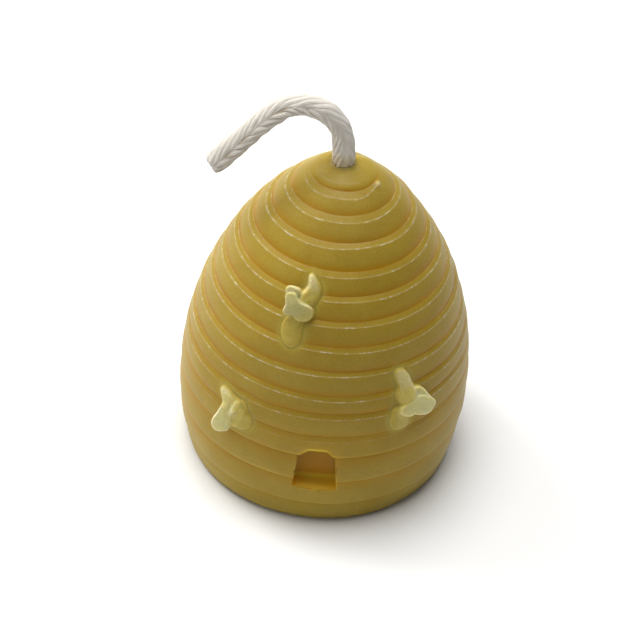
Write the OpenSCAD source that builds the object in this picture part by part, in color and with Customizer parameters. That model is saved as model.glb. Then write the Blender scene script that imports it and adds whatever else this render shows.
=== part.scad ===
// Cast beeswax candle in the shape of a coiled straw bee skep.
// The candle stands on its flat base, Z up, with the origin at the centre of
// the base. The doorway faces -Y. All sizes are in millimetres.

/* [Wax body] */
// Diameter over the widest coil
body_d = 60; // [54:1:66]
// Height from the base to the crown, without the wick
body_h = 71; // [66:1:78]
// Diameter of the flat base
base_d = 55; // [50:1:57]
// How far the seams between coils are sunk below the coils
seam_depth = 0.6; // [0.3:0.1:1]

/* [Doorway] */
// Width of the doorway at its sill
door_w = 9; // [7:0.5:11]
// Height of the doorway from sill to lintel
door_h = 11.2; // [9:0.1:13]
// Height of the sill above the base
door_sill = 10.7; // [9:0.1:13]
// Depth of the sill, from the face of the coil to the back wall
door_depth = 3; // [2:0.5:3.5]

/* [Wick] */
// Diameter of the braided cotton wick
wick_d = 4.2; // [3:0.1:5]

/* [Bees] */
// Size of the bees, as a factor
bee_scale = 1; // [0.8:0.05:1.15]
// Thickness of the wing slabs
wing_t = 1.1; // [0.8:0.1:1.4]

/* [Hidden] */

R = body_d / 2;
Rb = base_d / 2;
kh = body_h / 71;
wick_r = wick_d / 2;

// The coils follow an egg-shaped outline: a barrel that narrows to the base
// below its widest level, and a dome above it.
z_wide = 16.5 * kh;          // level of the widest coil
z_peak = 72.6 * kh;          // where the outline of the dome would close
dome_p = 2.1;                // fullness of the dome's shoulder
dome_q = 0.77;               // roundness of the dome's crown
function clamp01(v) = max(0, min(1, v));
function dome_r(z) = R * pow(1 - pow(clamp01((z - z_wide) / (z_peak - z_wide)), dome_p), dome_q);
function foot_r(z) = R - (R - Rb) * pow(clamp01((z_wide - z) / z_wide), 2.2);
function outline_r(z) = z >= z_wide ? dome_r(z) : foot_r(z);
// Slope of the outline, as the elevation of its outward normal in degrees
function outline_psi(z) = atan2(outline_r(z - 0.5) - outline_r(z + 0.5), 1);

// Seams between the coils, as heights above the base of a 71 mm body
seam_z = [6, 13.3, 19.9, 25.4, 30.6, 34.8, 39.7, 44.6, 49.2, 53.4, 57.5, 61.7, 65.6, 68.7];
function seam(i) = seam_z[i] * kh;
n_seam = len(seam_z);
// Stations between one seam and the next, and how full the coil is there
coil_t = [0, 0.07, 0.2, 0.35, 0.5, 0.65, 0.8, 0.93];
function fullness(t) = pow(sin(180 * t), 0.5);
// A seam near the base is a shallow line; higher up it is a full groove
function sink(i) = seam_depth * (i < 3 ? 0.35 + 0.2 * i : 1);
function coil_pt(z, d) = let (a = outline_psi(z)) [outline_r(z) - d * cos(a), z - d * sin(a)];
function coil_pts(i) = [for (t = coil_t)
    let (z = seam(i) + (seam(i + 1) - seam(i)) * t,
         s = sink(i) * (1 - t) + sink(i + 1) * t)
    coil_pt(z, s * (1 - fullness(t)))];

module body_profile()
    polygon(concat(
        [[0, 0], [outline_r(0) - 0.5, 0], [outline_r(0), 0.5]],
        [for (t = [0.3, 0.6, 0.85]) [outline_r(seam(0) * t), seam(0) * t]],
        [for (i = [0 : n_seam - 2]) each coil_pts(i)],
        [coil_pt(seam(n_seam - 1), seam_depth)],
        // the crown: a low button of wax that climbs a little way up the wick
        [[5.9, 69.3 * kh], [4.9, 69.85 * kh], [3.9, 70.25 * kh], [3, 70.5 * kh],
         [wick_r + 0.45, 70.65 * kh], [wick_r + 0.2, body_h], [0, body_h]]
    ));

module body_solid() rotate_extrude($fn = 180) body_profile();

// Doorway: a flat lintel with two sloping shoulders over straight jambs
module door_cut() {
    y_back = -outline_r(door_sill) + door_depth;
    translate([0, y_back, 0]) rotate([90, 0, 0]) linear_extrude(height = 12)
        polygon([
            [-door_w / 2, door_sill], [door_w / 2, door_sill],
            [door_w * 0.4, door_sill + door_h * 0.84],
            [door_w * 0.2, door_sill + door_h],
            [-door_w * 0.2, door_sill + door_h],
            [-door_w * 0.4, door_sill + door_h * 0.84]
        ]);
}

module skep_body() color([0.66, 0.53, 0.22])
    difference() {
        body_solid();
        door_cut();
        translate([0, 0, -1]) cylinder(r = wick_r, h = body_h + 2, $fn = 48);
    }

// Puts a child, drawn lying on the XY plane, on the coils at an azimuth
// from the doorway and a height above the base, with +Y up the slope.
module on_coils(az, z)
    rotate([0, 0, az]) translate([0, -outline_r(z), z])
        rotate([90 - outline_psi(z), 0, 0]) children();

// lumps: [x, y, height, radius]; wings: [x, y, height of the underside, radius]
module bee_form(lumps, wings) scale(bee_scale) {
    for (b = lumps) translate([b[0], b[1], b[2]]) sphere(r = b[3], $fn = 40);
    for (w = wings) translate([w[0], w[1], w[2]]) cylinder(r = w[3], h = wing_t, $fn = 40);
}

module bee(az, z, lumps, wings) color([0.72, 0.68, 0.42])
    difference() {
        on_coils(az, z * kh) bee_form(lumps, wings);
        body_solid();
    }

module bee_top() bee(-14, 51.5,
    [[0.3, 5, 0.6, 1.1], [0.8, 3.6, 0.8, 1.4], [0.8, 1.8, 0.9, 1.8], [0, -0.8, 0.7, 1.9],
     [-0.9, -3, 0, 2], [-1.4, -5, -0.4, 2], [-1.5, -7, -0.5, 1.9]],
    [[-2.1, 0.9, 2, 1.7], [-2.4, -1.6, 2, 1.2], [1, -1.4, 2, 1.8], [0, 0, 1.9, 1.6],
     [-2.2, 2.2, 1.3, 1.3]]);

module bee_left() bee(-41, 25,
    [[0, 4.2, 0.5, 1.1], [0.4, 3, 0.7, 1.3], [1.6, 1.6, 1, 1.8], [3.4, 0.9, 0.7, 1.9],
     [5, 0.4, 0.3, 2], [6.4, 0, 0, 1.9]],
    [[1.8, -1.4, 2, 2.4], [3.2, -0.4, 2, 1.8], [1.6, 0.8, 1.9, 1.6]]);

module bee_right() bee(35, 32,
    [[-1.2, 6.2, 0.4, 1.4], [-0.7, 4.4, 0.7, 1.5], [-0.5, 2.2, 1, 1.9], [-1.1, 0, 0.8, 2],
     [-1.8, -2, 0.3, 2.1], [-2.4, -3.8, 0, 2.1]],
    [[2.4, -0.4, 2, 2.4], [-1.9, -0.8, 2, 1.4], [0.3, -0.2, 1.9, 1.8]]);

// The wick runs straight through the wax, from the base to the crown
module wick_core() color([0.86, 0.83, 0.76])
    cylinder(r = wick_r, h = body_h, $fn = 48);

// Route of the free end, from the centre of the crown: up, over and down
wick_route = [
    [0, 0, 0], [-0.1, 0, 2], [-0.4, 0, 4.5], [-0.9, 0, 6.8], [-1.9, 0, 8.7],
    [-3.4, 0, 10.3], [-5.3, 0, 11.4], [-7.5, 0, 12], [-9.7, 0, 12], [-11.8, 0, 11.3],
    [-13.8, 0, 9.8], [-15.9, 0, 7.6], [-18.2, 0, 4.8], [-20.7, 0, 1.8],
    [-23.1, 0, -1.1], [-25.2, 0, -3.5]];
n_route = len(wick_route);
sides = 12;
function unit(v) = v / norm(v);
function along(i) = i == 0 ? [0, 0, 1]
    : unit(wick_route[min(i + 1, n_route - 1)] - wick_route[i - 1]);
function across(i) = unit(cross([0, 1, 0], along(i)));
function ring(i) = [for (k = [0 : sides - 1]) let (a = 360 * k / sides)
    wick_route[i] + wick_r * (cos(a) * across(i) + sin(a) * cross(along(i), across(i)))];
tail_points = [for (i = [0 : n_route - 1]) each ring(i)];
tail_faces = concat(
    [[for (k = [0 : sides - 1]) k]],
    [for (i = [0 : n_route - 2], k = [0 : sides - 1]) let (n = (k + 1) % sides)
        [i * sides + k, (i + 1) * sides + k, (i + 1) * sides + n, i * sides + n]],
    [[for (k = [0 : sides - 1]) n_route * sides - 1 - k]]);

module wick_tail() color([0.9, 0.88, 0.82])
    translate([0, 0, body_h]) polyhedron(points = tail_points, faces = tail_faces, convexity = 4);

skep_body();
bee_top();
bee_left();
bee_right();
wick_core();
wick_tail();
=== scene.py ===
"""Cast beeswax skep candle: detailed wax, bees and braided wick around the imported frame."""
import math

import bpy
import numpy as np
from mathutils import Matrix, Vector


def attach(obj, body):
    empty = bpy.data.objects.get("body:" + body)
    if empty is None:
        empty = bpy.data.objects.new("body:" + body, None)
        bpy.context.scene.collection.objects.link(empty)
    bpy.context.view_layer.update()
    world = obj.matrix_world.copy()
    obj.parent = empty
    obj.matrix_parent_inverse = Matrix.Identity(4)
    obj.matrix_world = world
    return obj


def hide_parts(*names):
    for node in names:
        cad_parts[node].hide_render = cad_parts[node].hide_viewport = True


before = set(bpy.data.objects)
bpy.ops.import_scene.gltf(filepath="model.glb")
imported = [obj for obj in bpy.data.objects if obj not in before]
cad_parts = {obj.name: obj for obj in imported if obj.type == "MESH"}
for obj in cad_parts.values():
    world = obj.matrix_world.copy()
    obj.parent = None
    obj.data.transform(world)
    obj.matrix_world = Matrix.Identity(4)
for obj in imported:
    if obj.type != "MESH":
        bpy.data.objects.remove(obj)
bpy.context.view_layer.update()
MM = 0.001
rng = np.random.RandomState(41)

# ------------------------------------------------------------------ camera
# A long lens looking down on the doorway side. The roll leans the candle a little to the right.
TILT, ROLL, PAN, ORBIT = (math.radians(a) for a in (41.19, 5.38, -0.3, -0.8))
cam_at = np.array([0.0, -0.30796, 0.29945])
ct, st, cp, sp = math.cos(TILT), math.sin(TILT), math.cos(PAN), math.sin(PAN)
fwd = np.array([sp * ct, cp * ct, -st])
right = np.array([cp, -sp, 0.0])
up = np.cross(right, fwd)
cr, sr = math.cos(ROLL), math.sin(ROLL)
cam_x, cam_y = cr * right + sr * up, cr * up - sr * right
orbit = Matrix.Rotation(ORBIT, 4, "Z")
m = Matrix.Identity(4)
for i in range(3):
    m[i][0], m[i][1], m[i][2], m[i][3] = cam_x[i], cam_y[i], -fwd[i], cam_at[i]
cam_data = bpy.data.cameras.new("camera")
cam_data.sensor_width = 36.0
cam_data.lens = 112.2
cam_data.clip_start, cam_data.clip_end = 0.01, 20.0
cam = bpy.data.objects.new("camera", cam_data)
bpy.context.scene.collection.objects.link(cam)
cam.matrix_world = orbit @ m
bpy.context.scene.camera = cam


# ------------------------------------------------------------------ small helpers
def smooth(a, b, x):
    t = np.clip((np.asarray(x, float) - a) / (b - a), 0.0, 1.0)
    return t * t * (3 - 2 * t)


def smin(a, b, k):
    h = np.clip(0.5 + 0.5 * (b - a) / k, 0.0, 1.0)
    return b * (1 - h) + a * h - k * h * (1 - h)


def new_object(name, verts, faces, smooth_shade=True):
    """verts in millimetres; faces as an (n, 4) or (n, 3) array, or a list of tuples."""
    me = bpy.data.meshes.new(name)
    v = np.asarray(verts, float) * MM
    if isinstance(faces, np.ndarray):
        n, k = faces.shape
        me.vertices.add(len(v))
        me.vertices.foreach_set("co", v.ravel())
        me.loops.add(n * k)
        me.loops.foreach_set("vertex_index", faces.astype(np.int32).ravel())
        me.polygons.add(n)
        me.polygons.foreach_set("loop_start", np.arange(0, n * k, k, dtype=np.int32))
        me.polygons.foreach_set("loop_total", np.full(n, k, dtype=np.int32))
        me.update(calc_edges=True)
    else:
        me.from_pydata([tuple(p) for p in v], [], faces)
    me.validate()
    me.polygons.foreach_set("use_smooth", np.full(len(me.polygons), smooth_shade))
    me.update()
    o = bpy.data.objects.new(name, me)
    bpy.context.scene.collection.objects.link(o)
    return o


def attribute(o, name, values):
    me = o.data
    if name in me.attributes:
        me.attributes.remove(me.attributes[name])
    a = me.attributes.new(name, "FLOAT", "POINT")
    a.data.foreach_set("value", np.asarray(values, np.float32))


def coords(o):
    co = np.empty(len(o.data.vertices) * 3, np.float32)
    o.data.vertices.foreach_get("co", co)
    return co.reshape(-1, 3).astype(float) / MM


# ------------------------------------------------------------------ the free end of the wick comes first
WICK_R = 2.1
CROWN = 71.0
# the same route as in the CAD model, above the crown, in millimetres
ROUTE = np.array([
    [0, 0, 0], [-0.1, 0, 2], [-0.4, 0, 4.5], [-0.9, 0, 6.8], [-1.9, 0, 8.7],
    [-3.4, 0, 10.3], [-5.3, 0, 11.4], [-7.5, 0, 12], [-9.7, 0, 12], [-11.8, 0, 11.3],
    [-13.8, 0, 9.8], [-15.9, 0, 7.6], [-18.2, 0, 4.8], [-20.7, 0, 1.8],
    [-23.1, 0, -1.1], [-25.2, 0, -3.5]], float) + [0, 0, CROWN]


def catmull(pts, n):
    """n points evenly spaced along a smooth curve through pts."""
    p = np.vstack([2 * pts[0] - pts[1], pts, 2 * pts[-1] - pts[-2]])
    out = []
    for i in range(1, len(p) - 2):
        for t in np.linspace(0, 1, 24, endpoint=False):
            a, b, c, d = p[i - 1], p[i], p[i + 1], p[i + 2]
            out.append(0.5 * (2 * b + (c - a) * t + (2 * a - 5 * b + 4 * c - d) * t * t
                              + (3 * b - a - 3 * c + d) * t ** 3))
    out.append(pts[-1])
    out = np.array(out)
    s = np.concatenate([[0], np.cumsum(np.linalg.norm(np.diff(out, axis=0), axis=1))])
    q = np.linspace(0, s[-1], n)
    return np.stack([np.interp(q, s, out[:, k]) for k in range(out.shape[1])], 1), s[-1]


def braid(name, line, length, rows, cols, lead_in=0.0, free_end=True, seed=5):
    """A plaited cotton wick along line: four rows of slanting stitches round it, neighbours leaning
    opposite ways so that they meet in chevrons, every stitch a bundle of combed fibres."""
    r = np.random.RandomState(seed)
    slant, p_st, half_w = math.tan(math.radians(23)), 2.55, 1.65
    blunt = 1.15 if free_end else 0.0            # length of the rounded cut end
    s = np.linspace(0, length - blunt, rows)
    cap = np.linspace(0, 1, 15)[1:] if free_end else np.zeros(0)
    th = np.linspace(0, 2 * math.pi, cols, endpoint=False)
    S = np.concatenate([s, (length - blunt) + blunt * np.sin(cap * math.pi / 2)])
    shrink = np.concatenate([np.ones(rows), np.cos(cap * math.pi / 2) ** 0.55])
    SS, TH = np.meshgrid(S, th, indexing="ij")
    turn = 0.14 * np.sin((SS + lead_in) * 0.13 + 2.2) - 0.16
    q = (TH + turn) / (math.pi / 2)
    ridge = np.floor(q).astype(int) % 4
    w = 2 * (q - np.floor(q)) - 1                # -1 .. 1 across one row of stitches
    sign = np.where(ridge % 2 == 0, 1.0, -1.0)
    start = np.array([0.0, 0.35, 0.1, 0.6])[ridge]
    wander = 0.10 * np.sin((SS + lead_in) * 0.83 + 2.1 * ridge) + 0.07 * np.sin((SS + lead_in) * 1.9 + 4.0 * ridge)
    ph = ((SS + lead_in) - sign * w * half_w / slant) / p_st + start + wander
    cell = np.floor(ph).astype(int)
    f = ph - cell
    tab = r.uniform(-1, 1, (4, 64))
    plump = tab[ridge, cell % 64] * np.array([1.0, 1.0, 1.9, 1.2])[ridge]
    relief = np.array([0.14, 0.15, 0.42, 0.16])[ridge]
    stitch = np.abs(np.sin(math.pi * f)) ** np.array([0.6, 0.6, 0.95, 0.6])[ridge]
    edge_w = 1 - np.abs(w) ** 3.2
    deep = np.array([0.26, 0.17, 0.26, 0.12])     # how far the gap after each row dives in
    gap = np.where(w > 0, deep[ridge], deep[(ridge - 1) % 4])
    torn = 0.5 + 0.5 * np.sin(0.9 * (SS + lead_in) + 1.3 * np.sin(0.37 * (SS + lead_in)) + 0.6)
    gap = gap * (0.55 + 0.75 * torn)
    flare = smooth(length - 2.6, length - 0.4, SS) if free_end else 0.0
    hang = 0.24 * smooth(15.0, 21.0, SS) * edge_w * (ridge == 2) if free_end else 0.0
    rad = 2.22 + hang - gap * (1 + 0.9 * flare) * (1 - edge_w) - relief * (1 - stitch) * edge_w + 0.045 * plump * edge_w
    # combed fibres: fine ripples that follow each stitch
    along = (SS + lead_in) + sign * w * half_w / slant
    for k in range(5):
        kf, ka, pp = 4.0 + 2.7 * k, r.uniform(-0.35, 0.35), r.uniform(0, 6.28)
        rad = rad + (0.020 / (1 + 0.35 * k)) * np.sin(2 * math.pi * kf * f + ka * 3 * along + pp + 1.7 * plump)
    rad = rad * (1 + 0.028 * np.cos(4 * TH + 0.6)) + 0.06 * np.sin(0.55 * SS + 1.0) + 0.05 * np.sin(1.7 * SS + 2.0 * TH)
    rad = rad * (1 + 0.06 * flare)
    tan = np.gradient(line, axis=0)
    tan /= np.linalg.norm(tan, axis=1)[:, None]
    ls = np.linspace(0, length, len(line))
    C = np.stack([np.interp(S, ls, line[:, k]) for k in range(3)], 1)
    T = np.stack([np.interp(S, ls, tan[:, k]) for k in range(3)], 1)
    ax = np.cross([0.0, 1.0, 0.0], T)
    ax /= np.linalg.norm(ax, axis=1)[:, None]
    ay = np.cross(T, ax)
    rr = rad * shrink[:, None]
    P = C[:, None, :] + rr[..., None] * (np.cos(TH)[..., None] * ax[:, None, :] + np.sin(TH)[..., None] * ay[:, None, :])
    if free_end:                                  # the four rows end unevenly where the wick was snipped
        jag = np.array([0.05, -0.45, 0.30, -0.10])[ridge] * edge_w + 0.10 * np.sin(9 * TH + 1.2) + 0.05 * np.sin(23 * TH)
        k = smooth(length - 1.6, length - 0.2, SS) * np.clip(shrink, 0, 1)[:, None] ** 0.5
        P = P + (jag * k)[..., None] * T[:, None, :]
    R_, K = P.shape[:2]
    i = np.arange(R_ - 1)[:, None] * K
    j, j2 = np.arange(K)[None, :], (np.arange(K)[None, :] + 1) % K
    quads = np.stack([i + j, i + j2, i + K + j2, i + K + j], -1).reshape(-1, 4)
    verts = P.reshape(-1, 3)
    faces = [tuple(x) for x in quads.tolist()]
    n0 = len(verts)
    verts = np.vstack([verts, P[0].mean(0), P[-1].mean(0)])
    for c in range(K):
        faces.append((n0, (c + 1) % K, c))
        faces.append((n0 + 1, (R_ - 1) * K + c, (R_ - 1) * K + (c + 1) % K))
    fib = (ph * 6.0 + ridge * 17.0).ravel()
    alo = along.ravel()
    # painted shade in the gaps between rows and in the dips of the stitches
    crevice_shade_mask = (1 - smooth(0.0, 0.75, edge_w)) * np.clip((gap - 0.08) / 0.3, 0, 1) + 0.45 * (1 - smooth(0.1, 0.7, stitch)) * edge_w
    crevice_shade_mask = (np.clip(crevice_shade_mask, 0, 1) * (0.25 + 0.75 * torn * (smooth(15.0, 19.0, SS) if free_end else 1.0))).ravel()
    fib, alo, crevice_shade_mask = (np.append(x, [x[:K].mean(), x[-K:].mean()]) for x in (fib, alo, crevice_shade_mask))
    # loose single fibres lying on the plait, and a small tuft at the snipped end
    hairs = []
    n_h = 40 if free_end else 0
    for h in range(n_h):
        tuft = h >= 30
        if tuft:
            t0, s0 = -2.2 + r.uniform(-0.35, 0.35), length - r.uniform(0.5, 0.9)
            ln, lift, dv = r.uniform(0.5, 0.9), r.uniform(0.0, 0.22), r.uniform(-0.2, 0.2)
        else:
            t0, s0 = r.uniform(0, 6.28), r.uniform(2.0, length - 3.0)
            ln, lift, dv = r.uniform(1.2, 3.0), r.uniform(0.05, 0.16), r.uniform(-0.5, 0.5)
        m = 9
        tt = np.linspace(0, 1, m)
        sp_ = np.clip(s0 + ln * tt, 0, length)
        over = np.maximum(s0 + ln * tt - length, 0)
        ang = t0 + dv * tt
        cc = np.stack([np.interp(sp_, ls, line[:, k]) for k in range(3)], 1)
        tg = np.stack([np.interp(sp_, ls, tan[:, k]) for k in range(3)], 1)
        a_ = np.cross([0.0, 1.0, 0.0], tg)
        a_ /= np.linalg.norm(a_, axis=1)[:, None]
        b_ = np.cross(tg, a_)
        rd = 2.15 + (lift * np.sin(tt * math.pi) if not tuft else lift * tt - 0.25)
        hairs.append((cc + tg * over[:, None] + (rd * np.cos(ang))[:, None] * a_ + (rd * np.sin(ang))[:, None] * b_, 0.16 if tuft else 0.03))
    vv, base = [verts], len(verts)
    for c, wd in hairs:
        tg = np.gradient(c, axis=0)
        tg /= np.linalg.norm(tg, axis=1)[:, None]
        a_ = np.cross(tg, [0.3, 0.9, 0.2])
        a_ /= np.linalg.norm(a_, axis=1)[:, None]
        b_ = np.cross(tg, a_)
        m = len(c)
        wdt = wd * np.sqrt(np.linspace(1, 0.06, m))
        g = 2 * math.pi * np.arange(5) / 5
        ring = c[:, None, :] + wdt[:, None, None] * (np.cos(g)[None, :, None] * a_[:, None, :] + np.sin(g)[None, :, None] * b_[:, None, :])
        vv.append(ring.reshape(-1, 3))
        for x in range(m - 1):
            for y in range(5):
                y2 = (y + 1) % 5
                faces.append((base + x * 5 + y, base + x * 5 + y2, base + x * 5 + 5 + y2, base + x * 5 + 5 + y))
        faces.append(tuple(base + y for y in (4, 3, 2, 1, 0)))
        faces.append(tuple(base + (m - 1) * 5 + y for y in range(5)))
        base += m * 5
        fib = np.append(fib, np.full(m * 5, 3.0 + 5 * wd))
        alo = np.append(alo, np.repeat(np.linspace(0, 2, m), 5))
        crevice_shade_mask = np.append(crevice_shade_mask, np.zeros(m * 5))
    o = new_object(name, np.vstack(vv), faces)
    attribute(o, "along", alo)
    attribute(o, "crevice_shade", crevice_shade_mask)
    attribute(o, "fibre", fib)
    return o


tail_line, TAIL_LEN = catmull(ROUTE, 240)
wick_tail = braid("wick_tail_braid", tail_line, TAIL_LEN, 460, 168)
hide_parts("wick_tail")
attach(wick_tail, "root")

core_line = np.stack([np.zeros(180), np.zeros(180), np.linspace(0.05, CROWN, 180)], 1)
wick_core = braid("wick_core_braid", core_line, CROWN - 0.05, 420, 96, lead_in=-(CROWN - 0.05), free_end=False)
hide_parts("wick_core")
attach(wick_core, "root")

# ------------------------------------------------------------------ the outline of the wax
R, RB, Z_WIDE, Z_PEAK, P_, Q_ = 30.0, 27.6, 16.5, 72.6, 2.10, 0.77


def outline_r(z):
    z = np.asarray(z, float)
    top = R * np.clip(1 - np.clip((z - Z_WIDE) / (Z_PEAK - Z_WIDE), 0, 1) ** P_, 0, 1) ** Q_
    foot = R - (R - RB) * np.clip((Z_WIDE - z) / Z_WIDE, 0, 1) ** 2.2
    return np.where(z >= Z_WIDE, top, foot)


zs = np.arange(1.4, 68.0, 0.25)
edge = [[RB - 0.75, 0.0], [RB - 0.35, 0.08], [RB - 0.08, 0.32], [float(outline_r(0.8)) - 0.01, 0.8]]
crown = [[6.87, 68.5], [6.3, 68.95], [5.6, 69.43], [4.9, 69.82], [4.1, 70.17], [3.3, 70.41], [2.6, 70.52], [2.1, 70.55]]
poly = np.array(edge + [[float(outline_r(z)), z] for z in zs] + crown)
env, ENV_LEN = catmull(poly, 2400)
env_s = np.linspace(0, ENV_LEN, len(env))
d = np.gradient(env, axis=0)
d /= np.linalg.norm(d, axis=1)[:, None]
nrm = np.stack([d[:, 1], -d[:, 0]], 1)          # outward: (dz, -dr)
ker = np.hanning(31)
ker /= ker.sum()
for k in range(2):
    nrm[:, k] = np.convolve(np.pad(nrm[:, k], 15, mode="edge"), ker, "valid")
nrm /= np.linalg.norm(nrm, axis=1)[:, None]


def lean(z, r):
    """The casting stands a little off true: how far its axis has drifted sideways at height z."""
    return 0.45 * np.clip(np.asarray(z, float) / 62.0, 0, 1) * smooth(2.3, 9.0, r)


def at(s, az, h):
    """Row-frame point, in mm, at arc length s, azimuth az from the doorway and height h above the outline."""
    r = np.interp(s, env_s, env[:, 0]) + h * np.interp(s, env_s, nrm[:, 0])
    z = np.interp(s, env_s, env[:, 1]) + h * np.interp(s, env_s, nrm[:, 1])
    return np.stack([r * np.sin(az) + lean(z, r), -r * np.cos(az), z], -1)


def s_of_z(z):
    return float(np.interp(z, env[:, 1], env_s))


SEAM_Z = [6.0, 13.3, 19.9, 25.4, 30.6, 34.8, 39.7, 44.6, 49.2, 53.4, 57.5, 61.7, 65.6, 68.7]
SEAM_S = [s_of_z(z) for z in SEAM_Z]
NS = len(SEAM_S)
DEPTH = [0.34, 0.38, 0.38, 0.36, 0.34, 0.34, 0.34, 0.34, 0.34, 0.34, 0.34, 0.34, 0.33, 0.29]
# the coil that lies above seam i: how sharply its upper shoulder is edged, and how wide the ledge is
CREST = [0.0, 0.0, 0.25, 0.7, 0.9] + [1.0] * 20
LEDGE = [1.3, 1.3, 1.3, 1.14, 1.0, 1.05, 1.1, 1.15, 1.15, 1.25, 1.3, 1.5, 1.67, 1.8]
harm = [(rng.uniform(0, 2 * math.pi, 7), rng.uniform(0.4, 1.0, 7)) for _ in range(NS + 1)]


def wobble(i, az):
    """How far seam i wanders up and down, in mm."""
    ph, am = harm[i]
    w = 0
    for k in range(7):
        w = w + am[k] * np.cos((k + 1) * az + ph[k]) / (k + 1.5)
    return 0.10 * w


def seam_depth(i, az):
    ph, am = harm[i]
    d_ = DEPTH[i] * (1 + 0.12 * np.cos(3 * az + ph[3]) + 0.06 * np.cos(7 * az + ph[5]))
    if i == NS - 1:      # the crown's first turn dies out at the back
        d_ = d_ * (0.15 + 0.85 * smooth(-0.1, 0.6, np.cos(az - 0.2)))
    return d_


# Height of a coil, 0 at a seam and 1 at its fullest: down its face from the shoulder (1) to the seam
# below (0), and across the ledge from the seam above (0) to the shoulder (1).
FACE_X = np.array([0, .03, .07, .12, .18, .26, .36, .48, .62, .76, .88, .96, 1.0])
FACE_Q = np.array([0, .04, .13, .27, .42, .59, .75, .87, .94, .98, 1.0, 1.0, 1.0])
LEDGE_X = np.array([0, .05, .10, .15, .20, .27, .36, .5, .65, .78, .88, .95, 1.0])
LEDGE_Q = np.array([0, .04, .10, .18, .26, .34, .44, .58, .71, .82, .92, .97, 1.0])
T_S = np.array([0, .012, .03, .06, .12, .3, .5, .72, .88, .96, 1.0])
Q_S = np.array([0, .40, .72, .92, 1.0, .97, .84, .56, .28, .10, 0.0])
T_R = np.array([0, .06, .15, .3, .5, .7, .82, .9, .96, 1.0])
Q_R = np.array([0, .35, .62, .86, 1.0, .96, .82, .62, .34, 0.0])


def crest_here(j, az):
    """How strongly the upper shoulder of the coil above seam j is edged, along its length."""
    c = np.full(np.shape(az), CREST[j])
    if j == NS - 2:      # the first turn of the rope starts at the right and runs round the front
        c = c * smooth(-1.7, -0.7, az) * (1 - smooth(1.08, 1.42, az))
    return c


def ledge_here(j, az):
    ph, am = harm[j]
    w = LEDGE[j] * (1 + 0.07 * np.cos(2 * az + ph[2]) + 0.05 * np.cos(5 * az + ph[4]))
    if j == NS - 2:
        w = w - 0.75 * smooth(0.3, 1.15, az)
    return w


def coil_of(s, az):
    """Which coil a point lies on and how far up it, for arrays of s and az."""
    j = np.full(np.shape(s), -1)
    t = np.zeros(np.shape(s))
    lo = np.zeros(np.shape(s))
    for i in range(NS + 1):
        hi = SEAM_S[i] + wobble(i, az) if i < NS else np.full(np.shape(s), ENV_LEN)
        m_ = (s >= lo) & (s <= hi) & (j < 0)
        j = np.where(m_, i, j)                      # region i lies below seam i
        t = np.where(m_, (s - lo) / np.maximum(hi - lo, 1e-6), t)
        lo = hi
    return j, t


NUB = (75.75, 1.145)


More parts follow.
